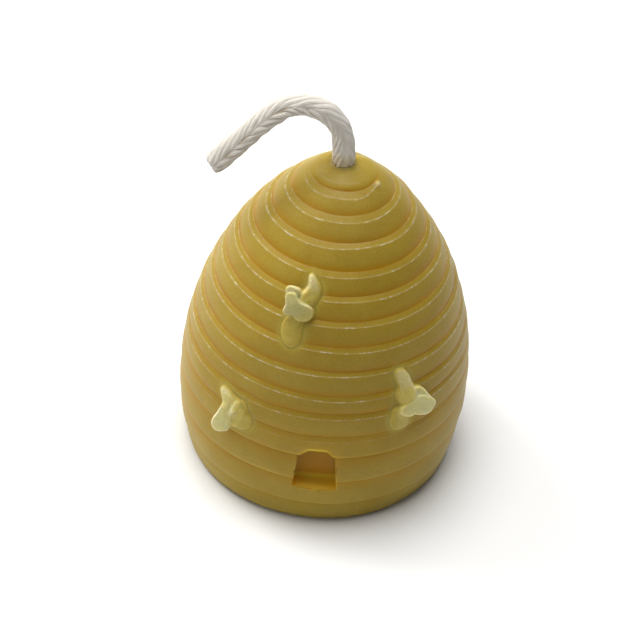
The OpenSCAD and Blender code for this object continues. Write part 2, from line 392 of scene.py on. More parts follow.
def offset(s, az):
    """Height of the wax surface above the outline (mostly negative), and the masks for the painted shade along the
    seams and the painted highlight on the coil shoulders.
    """
    s, az = np.broadcast_arrays(np.asarray(s, float), np.asarray(az, float))
    azw = (az + math.pi) % (2 * math.pi) - math.pi
    reg, t = coil_of(s, azw)
    o = np.zeros(s.shape)
    seam = np.zeros(s.shape)
    crest_highlight = np.zeros(s.shape)
    for i in range(NS + 1):
        m_ = reg == i
        if not m_.any():
            continue
        ti, a = t[m_], azw[m_]
        if i == 0:                                  # the base band
            dh = seam_depth(0, a)
            q = np.interp(ti, [0, .3, .5, .72, .88, 1], [1, 1, .88, .58, .26, 0])
            o[m_] = -dh * (1 - q)
            # painted shade along the seam above the base band
            seam[m_] = 0.3 * np.exp(-((1 - ti) * 5.5 / 0.9) ** 2)
            continue
        if i == NS:                                 # the crown
            dl = seam_depth(NS - 1, a)
            q = np.interp(ti, [0, .03, .07, .12, .2, .28, .34, .4, 1], [0, .3, .58, .78, .95, 1.05, 1.0, .98, 1.0])
            rr = np.interp(s[m_], env_s, env[:, 0])
            o[m_] = -dl * (1 - q) + 0.30 * np.exp(-((rr - 2.1) / 0.45) ** 2) + 0.05 * np.exp(-((rr - 3.5) / 0.3) ** 2)
            # painted shade along the crown's seam
            seam[m_] = np.exp(-(ti * 6 / 0.6) ** 2) * dl / DEPTH[NS - 1]
            # painted highlight: a ring along the crown's shoulder, on the side facing the front
            crest_highlight[m_] = 0.35 * np.exp(-((ti - 0.28) * 6 / 0.14) ** 2) * smooth(0.5, 0.95, np.cos(a + 0.05))
            continue
        lo_d, hi_d = seam_depth(i - 1, a), seam_depth(i, a)
        c = crest_here(i - 1, a)
        pitch = SEAM_S[i] - SEAM_S[i - 1] + wobble(i, a) - wobble(i - 1, a)
        L = ledge_here(i - 1, a)
        y_up, y_dn = (1 - ti) * pitch, ti * pitch
        q_edge = np.where(y_up < L, np.interp(y_up / L, LEDGE_X, LEDGE_Q), np.interp(y_dn / (pitch - L), FACE_X, FACE_Q))
        q_soft = np.interp(ti, T_R, Q_R) if i == NS - 1 else np.interp(ti, T_S, Q_S)
        q = c * q_edge + (1 - c) * q_soft
        dd = lo_d * (1 - ti) + hi_d * ti
        bead = np.exp(-((y_up - L) / 0.10) ** 2)
        o[m_] = -dd * (1 - q) + 0.035 * c * bead + 0.012 * c * np.exp(-((y_up - 0.15 * L) / 0.08) ** 2)
        # painted shade: the groove darkens to a deeper orange, spreading onto the wax above and below it, more on the
        # sides
        strength = smooth(0.04, 0.22, dd)
        soft = np.zeros(dd.shape) if i == NS - 1 else 1 - c
        over_ = (1 - soft) * np.exp(-(y_dn / 1.0) ** 1.8) + 0.3 * soft * np.exp(-(y_dn / 0.5) ** 2)
        under = (1 - soft) * np.maximum(np.exp(-(y_up / 0.22) ** 2), 0.16 * (1 - smooth(0.3, 1.0, y_up / L))) + 0.85 * soft * np.exp(-(y_up / 2.0) ** 1.5)
        aside = smooth(0.75, 1.35, np.abs(a))
        seam[m_] = strength * np.maximum(over_, under) * (1 + 0.22 * aside)
        # painted highlight: a broken pale line on each coil's upper shoulder, and on the sides a thin line just under
        # the groove
        crest_highlight[m_] = c * np.maximum(np.exp(-((y_up - L) / (0.10 + 0.05 * aside)) ** 2), (0.10 + 0.6 * aside) * np.exp(-((y_up - 0.15 * L) / 0.08) ** 2))
        if i == NS - 1:      # its painted highlight along the shoulder stops at the blob
            crest_highlight[m_] *= 1 - smooth(1.08, 1.15, a)
    # the small blob where the first turn of the rope begins, with a painted highlight on it
    rr = np.interp(s, env_s, env[:, 0])
    dn = np.hypot((s - NUB[0]) / 0.55, (azw - NUB[1]) * rr / 0.75)
    o = o + 0.46 * np.exp(-dn ** 2.4)
    crest_highlight = np.maximum(crest_highlight, 1.6 * np.exp(-(dn / 0.75) ** 2))
    # slow unevenness of a hand-poured casting
    for ph, ka, ks, am in UNEVEN:
        o = o + am * np.cos(ka * azw + ks * s + ph)
    # wax has run in around the feet of the bees
    fill = bee_fill(s, azw)
    o = o * (1 - 0.62 * fill) - 0.10 * fill
    return o, seam * (1 - 0.55 * fill), crest_highlight * (1 - 0.9 * fill)


UNEVEN = [(rng.uniform(0, 6.28), int(rng.randint(1, 9)), rng.uniform(-0.5, 0.5), 0.022) for _ in range(16)]

# ------------------------------------------------------------------ outlines of the bees
# (u, v) in mm along and up the wax from each bee's centre
def chaikin(pts, n=2):
    p = np.array(pts, float)
    for _ in range(n):
        a, b = p, np.roll(p, -1, axis=0)
        p = np.stack([0.75 * a + 0.25 * b, 0.25 * a + 0.75 * b], 1).reshape(-1, 2)
    return p


def poly2(u, v, pts):
    """Signed distance to a polygon, negative inside."""
    u, v = np.asarray(u, float), np.asarray(v, float)
    d2 = np.full(u.shape, 1e9)
    inside = np.zeros(u.shape, bool)
    for (x0, y0), (x1, y1) in zip(pts, np.roll(pts, -1, axis=0)):
        ex, ey = x1 - x0, y1 - y0
        t = np.clip(((u - x0) * ex + (v - y0) * ey) / (ex * ex + ey * ey + 1e-12), 0, 1)
        d2 = np.minimum(d2, (u - x0 - t * ex) ** 2 + (v - y0 - t * ey) ** 2)
        if abs(ey) > 1e-9:
            cross = ((y0 > v) != (y1 > v)) & (u < ex * (v - y0) / ey + x0)
            inside ^= cross
    d_ = np.sqrt(d2)
    return np.where(inside, -d_, d_)


BEES = {
    "top": dict(az=-13.8, z=51.5, light=(-0.6, 0.8), outer=(-0.95, 0.3), parts=[
        ("body", 0.42, [(-3.2, -4.3), (-3.35, -5.5), (-3.2, -6.5), (-2.7, -7.8), (-1.9, -8.8), (-1.0, -9.0), (-0.4, -8.6), (0.25, -7.5), (0.25, -6.5), (0.15, -5.0), (0.2, -3.5), (0.3, -2.0), (-2.4, -2.0), (-2.9, -3.2)]),
        ("body", 0.85, [(-0.7, 5.1), (-0.65, 5.8), (-0.2, 6.15), (0.35, 6.05), (1.0, 5.5), (1.8, 4.7), (2.6, 3.6), (2.5, 2.4), (2.2, 1.5), (1.6, 0.4), (1.0, -1.0), (-1.6, -1.2), (-1.5, 1.0), (-1.2, 2.3), (-0.7, 3.1), (-0.4, 3.9)]),
        ("slab", (0.6, 0.85), [(-4.3, 1.9), (-4.25, 2.5), (-3.7, 2.95), (-2.7, 3.05), (-1.6, 2.9), (-1.15, 2.4), (-1.0, 1.5), (-1.0, 0.4), (-3.4, 0.2), (-3.9, 1.0)]),
        ("slab", (1.25, 0.85), [(-3.75, 0.8), (-3.65, 1.3), (-3.3, 1.7), (-2.6, 2.0), (-1.95, 1.98), (-1.55, 1.7), (-1.3, 1.15), (-0.7, 0.7), (0.0, 0.5), (0.7, 0.42), (1.5, 0.2), (1.95, -0.3), (2.1, -1.0), (1.95, -1.7), (1.45, -2.4), (0.7, -2.8), (-0.15, -2.9), (-0.85, -2.72), (-1.5, -2.1), (-2.0, -2.4), (-2.5, -2.65), (-3.0, -2.6), (-3.35, -2.15), (-3.45, -1.6), (-3.25, -0.9), (-3.2, -0.4), (-3.5, 0.2)])]),
    "left": dict(az=-40.8, z=25.0, light=(-0.75, -0.66), outer=(-1.0, 0.0), parts=[
        ("body", 0.38, [(3.4, -3.0), (4.9, -2.8), (5.95, -2.35), (6.8, -1.5), (7.2, -0.4), (7.3, 0.6), (6.9, 1.25), (6.2, 1.5), (4.6, 2.2), (2.5, 1.0), (2.2, -1.8)]),
        ("body", 0.62, [(-1.1, 3.6), (-1.05, 4.3), (-0.5, 4.9), (0.4, 5.05), (1.5, 4.7), (2.6, 4.2), (3.8, 4.0), (4.6, 3.0), (4.0, 1.2), (2.6, 0.0), (1.2, 0.2), (0.5, 0.9), (0.2, 1.6), (-0.2, 2.2), (-0.7, 2.9)]),
        ("body", 0.15, [(3.5, 3.3), (4.1, 3.8), (4.7, 4.0), (5.05, 3.9), (5.15, 3.6), (5.6, 3.1), (5.75, 2.0), (5.3, 0.9), (4.9, -0.2), (4.5, -1.2), (3.9, -2.0), (2.9, -1.8), (2.6, 0.3), (2.9, 2.2)]),
        ("slab", (1.2, 0.85), [(1.3, 1.9), (0.8, 0.3), (0.15, -1.35), (-0.25, -2.6), (-0.3, -3.5), (0.15, -4.15), (0.85, -4.4), (1.65, -4.25), (2.7, -3.6), (3.6, -2.9), (4.0, -2.1), (4.1, -1.0), (3.9, 0.4), (3.6, 1.8), (2.9, 2.7), (2.1, 2.8)])]),
    "right": dict(az=35.2, z=32.0, light=(0.8, -0.6), outer=(1.0, 0.0), parts=[
        ("body", 0.45, [(0.2, -3.6), (0.1, -4.6), (0.0, -5.3), (-0.4, -5.95), (-1.1, -6.35), (-2.1, -6.55), (-2.9, -6.2), (-3.5, -5.5), (-4.0, -4.2), (-4.0, -2.4), (-3.0, -0.8), (-1.4, -1.0)]),
        ("body", 0.9, [(-3.15, 6.9), (-2.9, 7.5), (-2.2, 7.75), (-1.3, 7.6), (-0.6, 7.0), (0.1, 6.0), (0.45, 5.0), (0.7, 4.0), (1.05, 3.1), (1.4, 2.0), (1.5, 0.3), (1.0, -1.4), (-1.0, -1.8), (-1.9, -1.0), (-2.6, 0.8), (-3.15, 2.4), (-2.25, 3.2), (-2.2, 4.3), (-2.7, 5.2), (-3.0, 6.1)]),
        ("slab", (0.55, 0.85), [(0.5, 2.9), (1.05, 3.1), (1.6, 3.1), (2.2, 2.75), (2.8, 2.1), (3.4, 1.1), (4.1, 0.0), (4.6, -0.9), (3.4, -1.6), (0.6, -0.8), (-0.4, 1.2)]),
        ("slab", (1.2, 0.85), [(-2.8, 0.4), (-3.15, 0.1), (-3.25, -0.3), (-3.15, -0.9), (-2.8, -1.45), (-2.1, -1.98), (-1.1, -2.4), (-0.5, -2.35), (-0.2, -2.1), (0.1, -2.45), (1.05, -2.98), (2.2, -3.3), (3.15, -3.38), (3.95, -3.0), (4.65, -2.4), (4.9, -1.7), (4.7, -0.95), (4.1, -0.25), (2.9, 0.7), (1.6, 1.5), (0.9, 1.7), (0.2, 1.6), (-0.7, 1.3), (-1.9, 0.85)])]),
}
for b_ in BEES.values():
    b_["s0"] = s_of_z(b_["z"])
    b_["az0"] = math.radians(b_["az"])
    b_["r0"] = float(np.interp(b_["s0"], env_s, env[:, 0]))
    # How far a patch has to slide over the wax, along u and v, to stay put in the view when it is one
    # millimetre lower than the height its outline was drawn for.
    n_r, n_z = np.interp(b_["s0"], env_s, nrm[:, 0]), np.interp(b_["s0"], env_s, nrm[:, 1])
    ca, sa = math.cos(b_["az0"]), math.sin(b_["az0"])
    up = np.array([0.0, math.sin(TILT), math.cos(TILT)])
    e_u, e_v, e_n = np.array([ca, sa, 0]), np.array([-n_z * sa, n_z * ca, n_r]), np.array([n_r * sa, -n_r * ca, n_z])
    b_["slide"] = np.linalg.solve([[e_u[0], e_v[0]], [e_u @ up, e_v @ up]], [e_n[0], e_n @ up])
    b_["polys"] = [chaikin(p[2]) + (b_["slide"] * (0.3 * p[1] + 0.43) if p[0] == "body" else 0) for p in b_["parts"]]


def bee_fill(s, az):
    """1 at the feet of the bees, fading to 0 about two millimetres away."""
    fill = np.zeros(np.shape(s))
    for b_ in BEES.values():
        u, v = (az - b_["az0"]) * b_["r0"], s - b_["s0"]
        m_ = (np.abs(u - 0.5) < 9) & (np.abs(v) < 12)
        if not m_.any():
            continue
        d_ = np.full(m_.sum(), 9.0)
        for part, poly_ in zip(b_["parts"], b_["polys"]):
            if part[0] == "body":
                d_ = np.minimum(d_, poly2(u[m_], v[m_], poly_))
        fill[m_] = np.maximum(fill[m_], 1 - smooth(0.1, 1.9, d_))
    return fill


def bee_ring(s, az):
    """1 along the line where a bee meets the wax, for painted light that lifts the shade at the join."""
    ring = np.zeros(np.shape(s))
    for b_ in BEES.values():
        u, v = (az - b_["az0"]) * b_["r0"], s - b_["s0"]
        m_ = (np.abs(u - 0.5) < 9) & (np.abs(v) < 12)
        if not m_.any():
            continue
        for part, poly_ in zip(b_["parts"], b_["polys"]):
            if part[0] == "body":
                d_ = poly2(u[m_], v[m_], poly_)
                w_ = 1.0
            else:
                drop = (3.1 if part[1][0] > 1 else 2.25) - sum(part[1])
                d_ = poly2(u[m_] - drop * b_["slide"][0], v[m_] - drop * b_["slide"][1], poly_)
                w_ = 0.3
            ring[m_] = np.maximum(ring[m_], w_ * np.where(d_ < 0.15, 1.0, np.exp(-((d_ - 0.15) / 0.45) ** 2)))
    return ring


# ------------------------------------------------------------------ the wax body
NAZ = 480
rows_s = []                                         # (region, kind, x) stations
for i in range(NS + 1):
    if i == 0:
        rows_s += [(i, "t", t) for t in (0, .02, .05, .09, .14, .2, .3, .42, .55, .68, .78, .86, .91, .95, .975, .99)]
    elif i == NS:
        rows_s += [(i, "t", t) for t in np.linspace(0, 1, 30)]
    else:
        rows_s += [(i, "f", x) for x in (0, .02, .045, .08, .13, .19, .26, .34, .43, .53, .64, .75, .86, .95)]
        rows_s += [(i, "l", x) for x in (1.0, .90, .80, .66, .50, .36, .26, .20, .155, .11, .06, .02)]
az = np.linspace(-math.pi, math.pi, NAZ, endpoint=False)
grid = []
for (i, kind, t) in rows_s:
    lo = SEAM_S[i - 1] + wobble(i - 1, az) if i > 0 else np.zeros(NAZ)
    hi = SEAM_S[i] + wobble(i, az) if i < NS else np.full(NAZ, ENV_LEN)
    if kind == "t":
        s = lo + (hi - lo) * t
    elif kind == "f":
        s = lo + (hi - lo - ledge_here(i - 1, az)) * t
    else:
        s = hi - ledge_here(i - 1, az) * t
    # sample exactly on this coil, a hair inside its ends
    o_, _, _ = offset(np.clip(s, lo + 1e-6, hi - 1e-6), az)
    p = at(s, az, o_)
    if i == 0:                                      # hand-trimmed foot: the edge wanders a little
        k = (1 - smooth(0.0, 0.35, t))
        w = 1 - 0.006 * k * (0.6 + np.cos(2 * az + 0.8) + 0.5 * np.cos(3 * az - 1.1) + 0.35 * np.cos(5 * az + 2.0))
        p[:, 0] *= w
        p[:, 1] *= w
    grid.append(p)
# down the bore, then across the underside back to the foot
for z, br in ((70.75, 1.82), (70.3, 1.72), (68.5, 1.72), (67.5, WICK_R), (60.0, WICK_R), (45.0, WICK_R), (30.0, WICK_R),
              (15.0, WICK_R), (4.0, WICK_R), (1.0, WICK_R), (0.45, WICK_R)):
    grid.append(np.stack([br * np.sin(az), -br * np.cos(az), np.full(NAZ, z)], 1))
foot = grid[0]
foot_r = np.hypot(foot[:, 0], foot[:, 1])
for f in (0.02, 0.06, 0.12, 0.2, 0.3, 0.42, 0.55, 0.68, 0.8, 0.9, 0.965):
    r_ = WICK_R + (foot_r - WICK_R) * f
    z_ = 0.45 * (1 - smooth(0.0, 0.45, f)) + 0.05 * (1 - smooth(0.8, 1.0, f)) * (1 + np.cos(5 * az + 9 * f)) * smooth(0, 0.3, f) * 0.6
    grid.append(np.stack([r_ * np.sin(az), -r_ * np.cos(az), z_ * np.ones(NAZ)], 1))
grid = np.array(grid)
NR = len(grid)
grid[..., 2] = np.maximum(grid[..., 2], 0.0)
i = np.arange(NR)[:, None]
j = np.arange(NAZ)[None, :]
i2, j2 = (i + 1) % NR, (j + 1) % NAZ
quads = np.stack([i * NAZ + j + 0 * j2, i * NAZ + j2, i2 * NAZ + j2, i2 * NAZ + j + 0 * j2], -1).reshape(-1, 4)
body = new_object("skep_wax", grid.reshape(-1, 3), quads)

# doorway: straight jambs, sloping shoulders, flat lintel, cut to a flat back wall
SILL, LINTEL, DOOR_D, SILL_RISE = 10.7, 21.9, 3.0, 0.9
y_back = -float(outline_r(SILL)) + DOOR_D
corner = [(4.65, SILL - 0.1), (3.6, 20.25), (1.8, LINTEL), (-1.7, LINTEL), (-3.65, 20.0), (-4.5, SILL + 0.1)]


def rounded(pts, r, n=5):
    out = []
    P = [np.array(p, float) for p in pts]
    for k in range(len(P)):
        a, b, c = P[k - 1], P[k], P[(k + 1) % len(P)]
        u, v = (a - b) / np.linalg.norm(a - b), (c - b) / np.linalg.norm(c - b)
        ang = math.acos(np.clip(u @ v, -1, 1))
        t = r / math.tan(ang / 2)
        p0, p1 = b + u * t, b + v * t
        for q in np.linspace(0, 1, n):
            out.append((1 - q) ** 2 * p0 + 2 * q * (1 - q) * b + q * q * p1)
    return np.array(out)


shape = rounded(corner, 0.35)
closed = np.vstack([shape, shape[:1]])
run = np.concatenate([[0], np.cumsum(np.linalg.norm(np.diff(closed, axis=0), axis=1))])
K = 96
shape = np.stack([np.interp(np.linspace(0, run[-1], K, endpoint=False), run, closed[:, k]) for k in (0, 1)], 1)
cen = shape.mean(0)
layers = [(-34.0, 1.03), (-30.6, 1.03), (-30.0, 1.0), (-29.6, 1.0), (-29.2, 0.998), (-28.8, 0.996), (-28.4, 0.994), (-28.0, 0.992),
          (y_back - 1.0, 0.99), (y_back - 0.7, 0.986), (y_back - 0.42, 0.978), (y_back - 0.2, 0.962), (y_back - 0.06, 0.94)]
layers += [(y_back, k) for k in (0.91, 0.87, 0.83, 0.79, 0.75, 0.71, 0.67, 0.63, 0.58, 0.52, 0.45, 0.36, 0.25, 0.12)]
dv, df = [], []
for y, k in layers:
    q = cen + (shape - cen) * k
    q[:, 1] += SILL_RISE * np.clip((y + 29.7) / DOOR_D, 0, 1) * (1 - smooth(SILL - 0.1, SILL + 4.5, q[:, 1]))
    dv += [(a, y, b) for a, b in q]
for a in range(len(layers) - 1):
    for b in range(K):
        c = (b + 1) % K
        df.append((a * K + b, a * K + c, (a + 1) * K + c, (a + 1) * K + b))
df.append(tuple(range(K - 1, -1, -1)))
df.append(tuple(range((len(layers) - 1) * K, len(layers) * K)))
cutter = new_object("door_cutter", dv, df)
mod = cutter.modifiers.new("n", "TRIANGULATE")
bm_fix = cutter.data
import bmesh
bmm = bmesh.new()
bmm.from_mesh(bm_fix)
bmesh.ops.recalc_face_normals(bmm, faces=bmm.faces)
bmm.to_mesh(bm_fix)
bmm.free()
bmm = bmesh.new()
bmm.from_mesh(body.data)
bmesh.ops.recalc_face_normals(bmm, faces=bmm.faces)
bmm.to_mesh(body.data)
bmm.free()
mod = body.modifiers.new("door", "BOOLEAN")
mod.operation = "DIFFERENCE"
mod.solver = "EXACT"
mod.object = cutter
dg = bpy.context.evaluated_depsgraph_get()
cut = bpy.data.meshes.new_from_object(body.evaluated_get(dg), depsgraph=dg)
body.modifiers.clear()
old = body.data
body.data = cut
bpy.data.meshes.remove(old)
bpy.data.objects.remove(cutter)
body.data.name = "skep_wax"
body.data.polygons.foreach_set("use_smooth", np.full(len(body.data.polygons), True))
body.data.set_sharp_from_angle(angle=math.radians(52))


def env_coords(co):
    """Arc length, azimuth and height above the outline of row-frame points in mm near the outer surface."""
    r = np.hypot(co[:, 0], co[:, 1])
    x = co[:, 0]
    for _ in range(3):
        x = co[:, 0] - lean(co[:, 2], r)
        r = np.hypot(x, co[:, 1])
    azm = np.arctan2(x, -co[:, 1])
    s = np.interp(co[:, 2], env[:, 1], env_s)
    for _ in range(6):                              # Newton steps along the outline
        er, ez = np.interp(s, env_s, env[:, 0]), np.interp(s, env_s, env[:, 1])
        nr_, nz_ = np.interp(s, env_s, nrm[:, 0]), np.interp(s, env_s, nrm[:, 1])
        tr_, tz_ = -nz_, nr_
        s = np.clip(s + (r - er) * tr_ + (co[:, 2] - ez) * tz_, 0, ENV_LEN)
    er, ez = np.interp(s, env_s, env[:, 0]), np.interp(s, env_s, env[:, 1])
    nr_, nz_ = np.interp(s, env_s, nrm[:, 0]), np.interp(s, env_s, nrm[:, 1])
    return s, azm, (r - er) * nr_ + (co[:, 2] - ez) * nz_


co = coords(body)
s_, a_, h_ = env_coords(co)
o_, seam_, crest_highlight_ = offset(s_, a_)
outer = (h_ > o_ - 0.06) & (np.hypot(co[:, 0], co[:, 1]) > WICK_R + 0.02)
depth_in = np.clip(-h_, 0, 6)
# painted shade along the seams
attribute(body, "seam", np.where(outer, seam_, 0))
in_door = (~outer) & (co[:, 1] < y_back + 0.1) & (co[:, 2] > SILL - 0.6) & (co[:, 2] < LINTEL + 0.5) & (np.abs(co[:, 0]) < 5.2)
inward = np.clip((co[:, 1] + 29.7) / DOOR_D, 0, 1)
# painted light: the sill of the doorway is painted bright, more so towards the back
sill_light_mask = (1 - smooth(0.0, 1.6, co[:, 2] - SILL - SILL_RISE * inward)) * (0.84 + 0.16 * inward)
high = smooth(SILL + 2.0, LINTEL, co[:, 2])
attribute(body, "lintel", np.where(in_door, high, 0.5))
# painted shade: the rim of the doorway is darkened and partly given the niche colour, holding down the light that glows
# through its edge
front = (co[:, 1] < -20) & (np.abs(co[:, 0]) < 6) & (co[:, 2] > SILL + 4) & (co[:, 2] < LINTEL + 1)
rim_d = np.full(len(co), 9.0)
rim_d[front] = poly2(co[front, 0], co[front, 2], shape)
door_rim_shade = outer & (np.abs(rim_d) < 0.14)
# painted shade: the doorway's recess takes the deep orange niche colour
attribute(body, "niche_shading", np.where(in_door, smooth(-0.2, 0.6, depth_in), np.where(door_rim_shade, 0.65, 0)))
attribute(body, "edge", np.where(door_rim_shade, 1.0, 0))
attribute(body, "sill", np.where(in_door, sill_light_mask, 1 - smooth(SILL - 1.2, SILL + 0.6, co[:, 2])))
# painted highlight along the coil shoulders
attribute(body, "crest_highlight", np.where(outer, crest_highlight_, 0))
# painted light: the upper coils and the crown a little paler towards the top
attribute(body, "pale", np.where(outer, 0.06 * smooth(SEAM_S[10], SEAM_S[12], s_), 0))
attribute(body, "rim_highlight", np.zeros(len(co)))
# painted light around the feet of the bees, where the bees shade the wax
attribute(body, "bee", np.where(outer, 0.5 * bee_fill(s_, a_), 0))
attribute(body, "frost_and_sheen", np.zeros(len(co)))
# painted light along the line where the bees meet the wax
attribute(body, "ring", np.where(outer, bee_ring(s_, a_), 0))
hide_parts("skep_body")
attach(body, "root")


# ------------------------------------------------------------------ bees, grown out of the wax
def untangle(F):
    """The same grid without faces whose signs alternate, where surface nets would join two sheets
    along one edge. Each is filled at its outside corner nearest the surface."""
    F = F.copy()
    for _ in range(40):
        inside = F < 0
        fill = set()
        for ax_ in range(3):
            o1, o2 = (ax_ + 1) % 3, (ax_ + 2) % 3
            q = []
            for d1, d2 in ((0, 0), (1, 0), (1, 1), (0, 1)):
                sl = [slice(None)] * 3
                sl[o1] = slice(d1, F.shape[o1] - 1 + d1)
                sl[o2] = slice(d2, F.shape[o2] - 1 + d2)
                q.append(inside[tuple(sl)])
            for c in np.argwhere((q[0] == q[2]) & (q[1] == q[3]) & (q[0] != q[1])):
                four = []
                for d1, d2 in ((0, 0), (1, 0), (1, 1), (0, 1)):
                    g = [int(x) for x in c]
                    g[o1] += d1
                    g[o2] += d2
                    four.append(tuple(g))
                fill.add(min((g for g in four if F[g] >= 0), key=lambda g: (F[g], g)))
        if not fill:
            break
        for g in sorted(fill):
            F[g] = -1e-3
    return F


def surface_nets(F, origin, h):
    """Closed quad mesh of F < 0 on a regular grid."""
    F = untangle(F)
    inside = F < 0
    nx, ny, nz = F.shape
    C = (nx - 1, ny - 1, nz - 1)
    corners = [(a, b, c) for a in (0, 1) for b in (0, 1) for c in (0, 1)]
    val = {k: F[k[0]:k[0] + C[0], k[1]:k[1] + C[1], k[2]:k[2] + C[2]] for k in corners}
    acc = np.zeros(C + (3,))
    cnt = np.zeros(C)
    for a in corners:
        for ax_ in range(3):
            if a[ax_] == 0:
                b = list(a)
                b[ax_] = 1
                b = tuple(b)
                fa, fb = val[a], val[b]
                m_ = (fa < 0) != (fb < 0)
                t = np.where(m_, fa / np.where(m_, fa - fb, 1), 0)
                for k in range(3):
                    acc[..., k] += np.where(m_, a[k] + (t if k == ax_ else 0), 0)
                cnt += m_
    act = cnt > 0
    idx = np.full(C, -1)
    idx[act] = np.arange(act.sum())
    ijk = np.argwhere(act)
    v = (acc[act] / cnt[act][:, None] + ijk) * h + origin
    quads = []
    for ax_ in range(3):
        sl0 = [slice(None)] * 3
        sl1 = [slice(None)] * 3
        sl0[ax_], sl1[ax_] = slice(0, -1), slice(1, None)
        a, b = inside[tuple(sl0)], inside[tuple(sl1)]
        ch = np.argwhere(a != b)
        o1, o2 = (ax_ + 1) % 3, (ax_ + 2) % 3
        ok = (ch[:, o1] > 0) & (ch[:, o2] > 0) & (ch[:, o1] < C[o1]) & (ch[:, o2] < C[o2])
        ch = ch[ok]
        q = []
        for d1, d2 in ((-1, -1), (0, -1), (0, 0), (-1, 0)):
            c = ch.copy()
            c[:, o1] += d1
            c[:, o2] += d2
            q.append(idx[c[:, 0], c[:, 1], c[:, 2]])
        q = np.stack(q, 1)
        flip = ~a[ch[:, 0], ch[:, 1], ch[:, 2]]
        q[flip] = q[flip][:, ::-1]
        quads.append(q)
    return v, np.vstack(quads)


def ripple(u, v, h, seed, amp):
    r = np.random.RandomState(seed)
    f = 0
    for _ in range(14):
        k = r.normal(size=3)
        k *= r.uniform(1.2, 5.0) / np.linalg.norm(k)
        f = f + np.sin(k[0] * u + k[1] * v + k[2] * h + r.uniform(0, 6.28)) / (1 + 0.4 * np.linalg.norm(k))
    return amp * f


SWELL = 0.9


